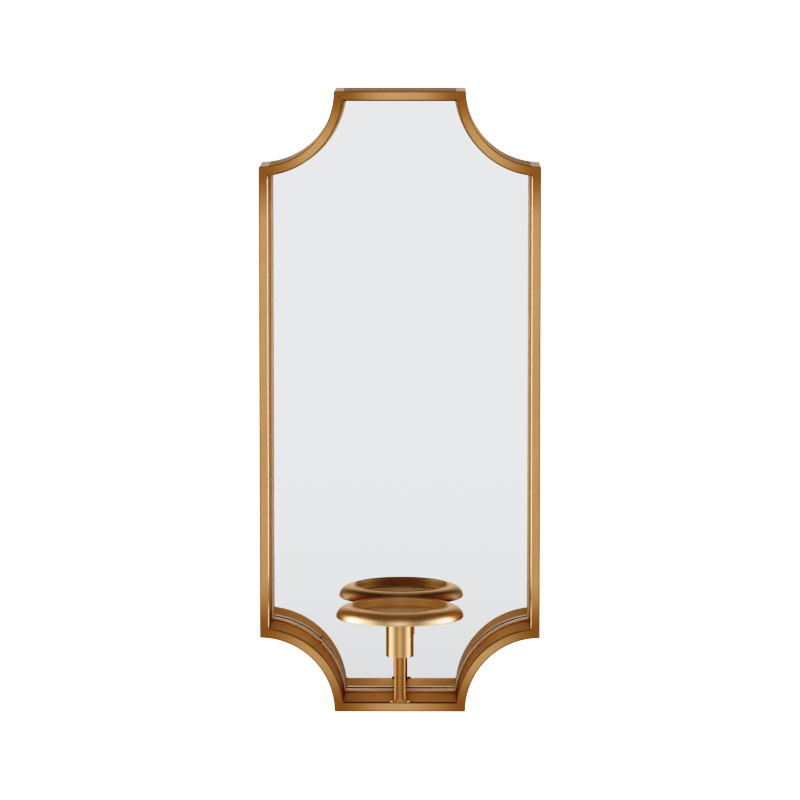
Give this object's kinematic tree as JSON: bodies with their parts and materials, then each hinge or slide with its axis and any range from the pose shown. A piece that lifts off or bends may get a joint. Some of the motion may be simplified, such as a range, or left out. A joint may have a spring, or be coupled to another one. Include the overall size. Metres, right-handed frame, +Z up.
{
  "type": "wall sconce candle holder",
  "caption": "Wall sconce for a pillar candle: deep gold metal shadow-box frame with scooped corners, mirror set near the wall, and a round dish on a post at the bottom bar.",
  "frame": {"origin": "middle of the hanger plate's keyhole entry, on the wall plane", "axes": "+Y into the wall, +Z up, +X to the viewer's right; the frame faces -Y"},
  "size_m": [0.203, 0.1067, 0.45],
  "materials": {
    "gold_frame": "satin metallic gold lacquer over steel, hand rubbed, darker in the corners",
    "gold_turned": "satin metallic gold lacquer over turned metal, fine turning lines",
    "mirror": "polished silvered glass",
    "glazing_tape": "matt black foam tape",
    "foam": "white closed-cell foam sheet",
    "hardboard": "smooth brown hardboard",
    "zinc_steel": "bright zinc plate",
    "button_zinc": "yellowish zinc plate, stamped edges",
    "rubber": "matt black rubber"
  },
  "bodies": {
    "sconce": {"top_bar": "gold_frame", "bottom_bar": "gold_frame", "left_rail": "gold_frame", "right_rail": "gold_frame", "corner_arc_top_left": "gold_frame", "corner_arc_top_right": "gold_frame", "corner_arc_bottom_left": "gold_frame", "corner_arc_bottom_right": "gold_frame", "arc_end_caps": "gold_frame", "rail_end_caps": "gold_frame", "mirror_stop_strip": "gold_frame", "glazing_tape": "glazing_tape", "mirror_glass": "mirror", "foam_sheet": "foam", "back_panel": "hardboard", "turn_button_screws": "zinc_steel", "hanger_plate": "zinc_steel", "hanger_screws": "zinc_steel", "wall_bumpers": "rubber", "support_post": "gold_frame", "stem_socket": "gold_turned", "candle_dish": "gold_turned", "dish_screw": "gold_turned"},
    "button_upper_left": {"turn_button_upper_left": "button_zinc"},
    "button_upper_right": {"turn_button_upper_right": "button_zinc"},
    "button_lower_left": {"turn_button_lower_left": "button_zinc"},
    "button_lower_right": {"turn_button_lower_right": "button_zinc"},
    "button_bottom": {"turn_button_bottom": "button_zinc"}
  },
  "joints": [
    {"name": "swivel_upper_left", "type": "hinge", "parent": "sconce", "child": "button_upper_left", "pos_m": [-0.098, -0.003, -0.091], "axis": [0, 1, 0], "continuous": true},
    {"name": "swivel_upper_right", "type": "hinge", "parent": "sconce", "child": "button_upper_right", "pos_m": [0.098, -0.003, -0.091], "axis": [0, 1, 0], "continuous": true},
    {"name": "swivel_lower_left", "type": "hinge", "parent": "sconce", "child": "button_lower_left", "pos_m": [-0.098, -0.003, -0.311], "axis": [0, 1, 0], "continuous": true},
    {"name": "swivel_lower_right", "type": "hinge", "parent": "sconce", "child": "button_lower_right", "pos_m": [0.098, -0.003, -0.311], "axis": [0, 1, 0], "continuous": true},
    {"name": "swivel_bottom", "type": "hinge", "parent": "sconce", "child": "button_bottom", "pos_m": [0, -0.003, -0.4225], "axis": [0, 1, 0], "continuous": true}
  ]
}
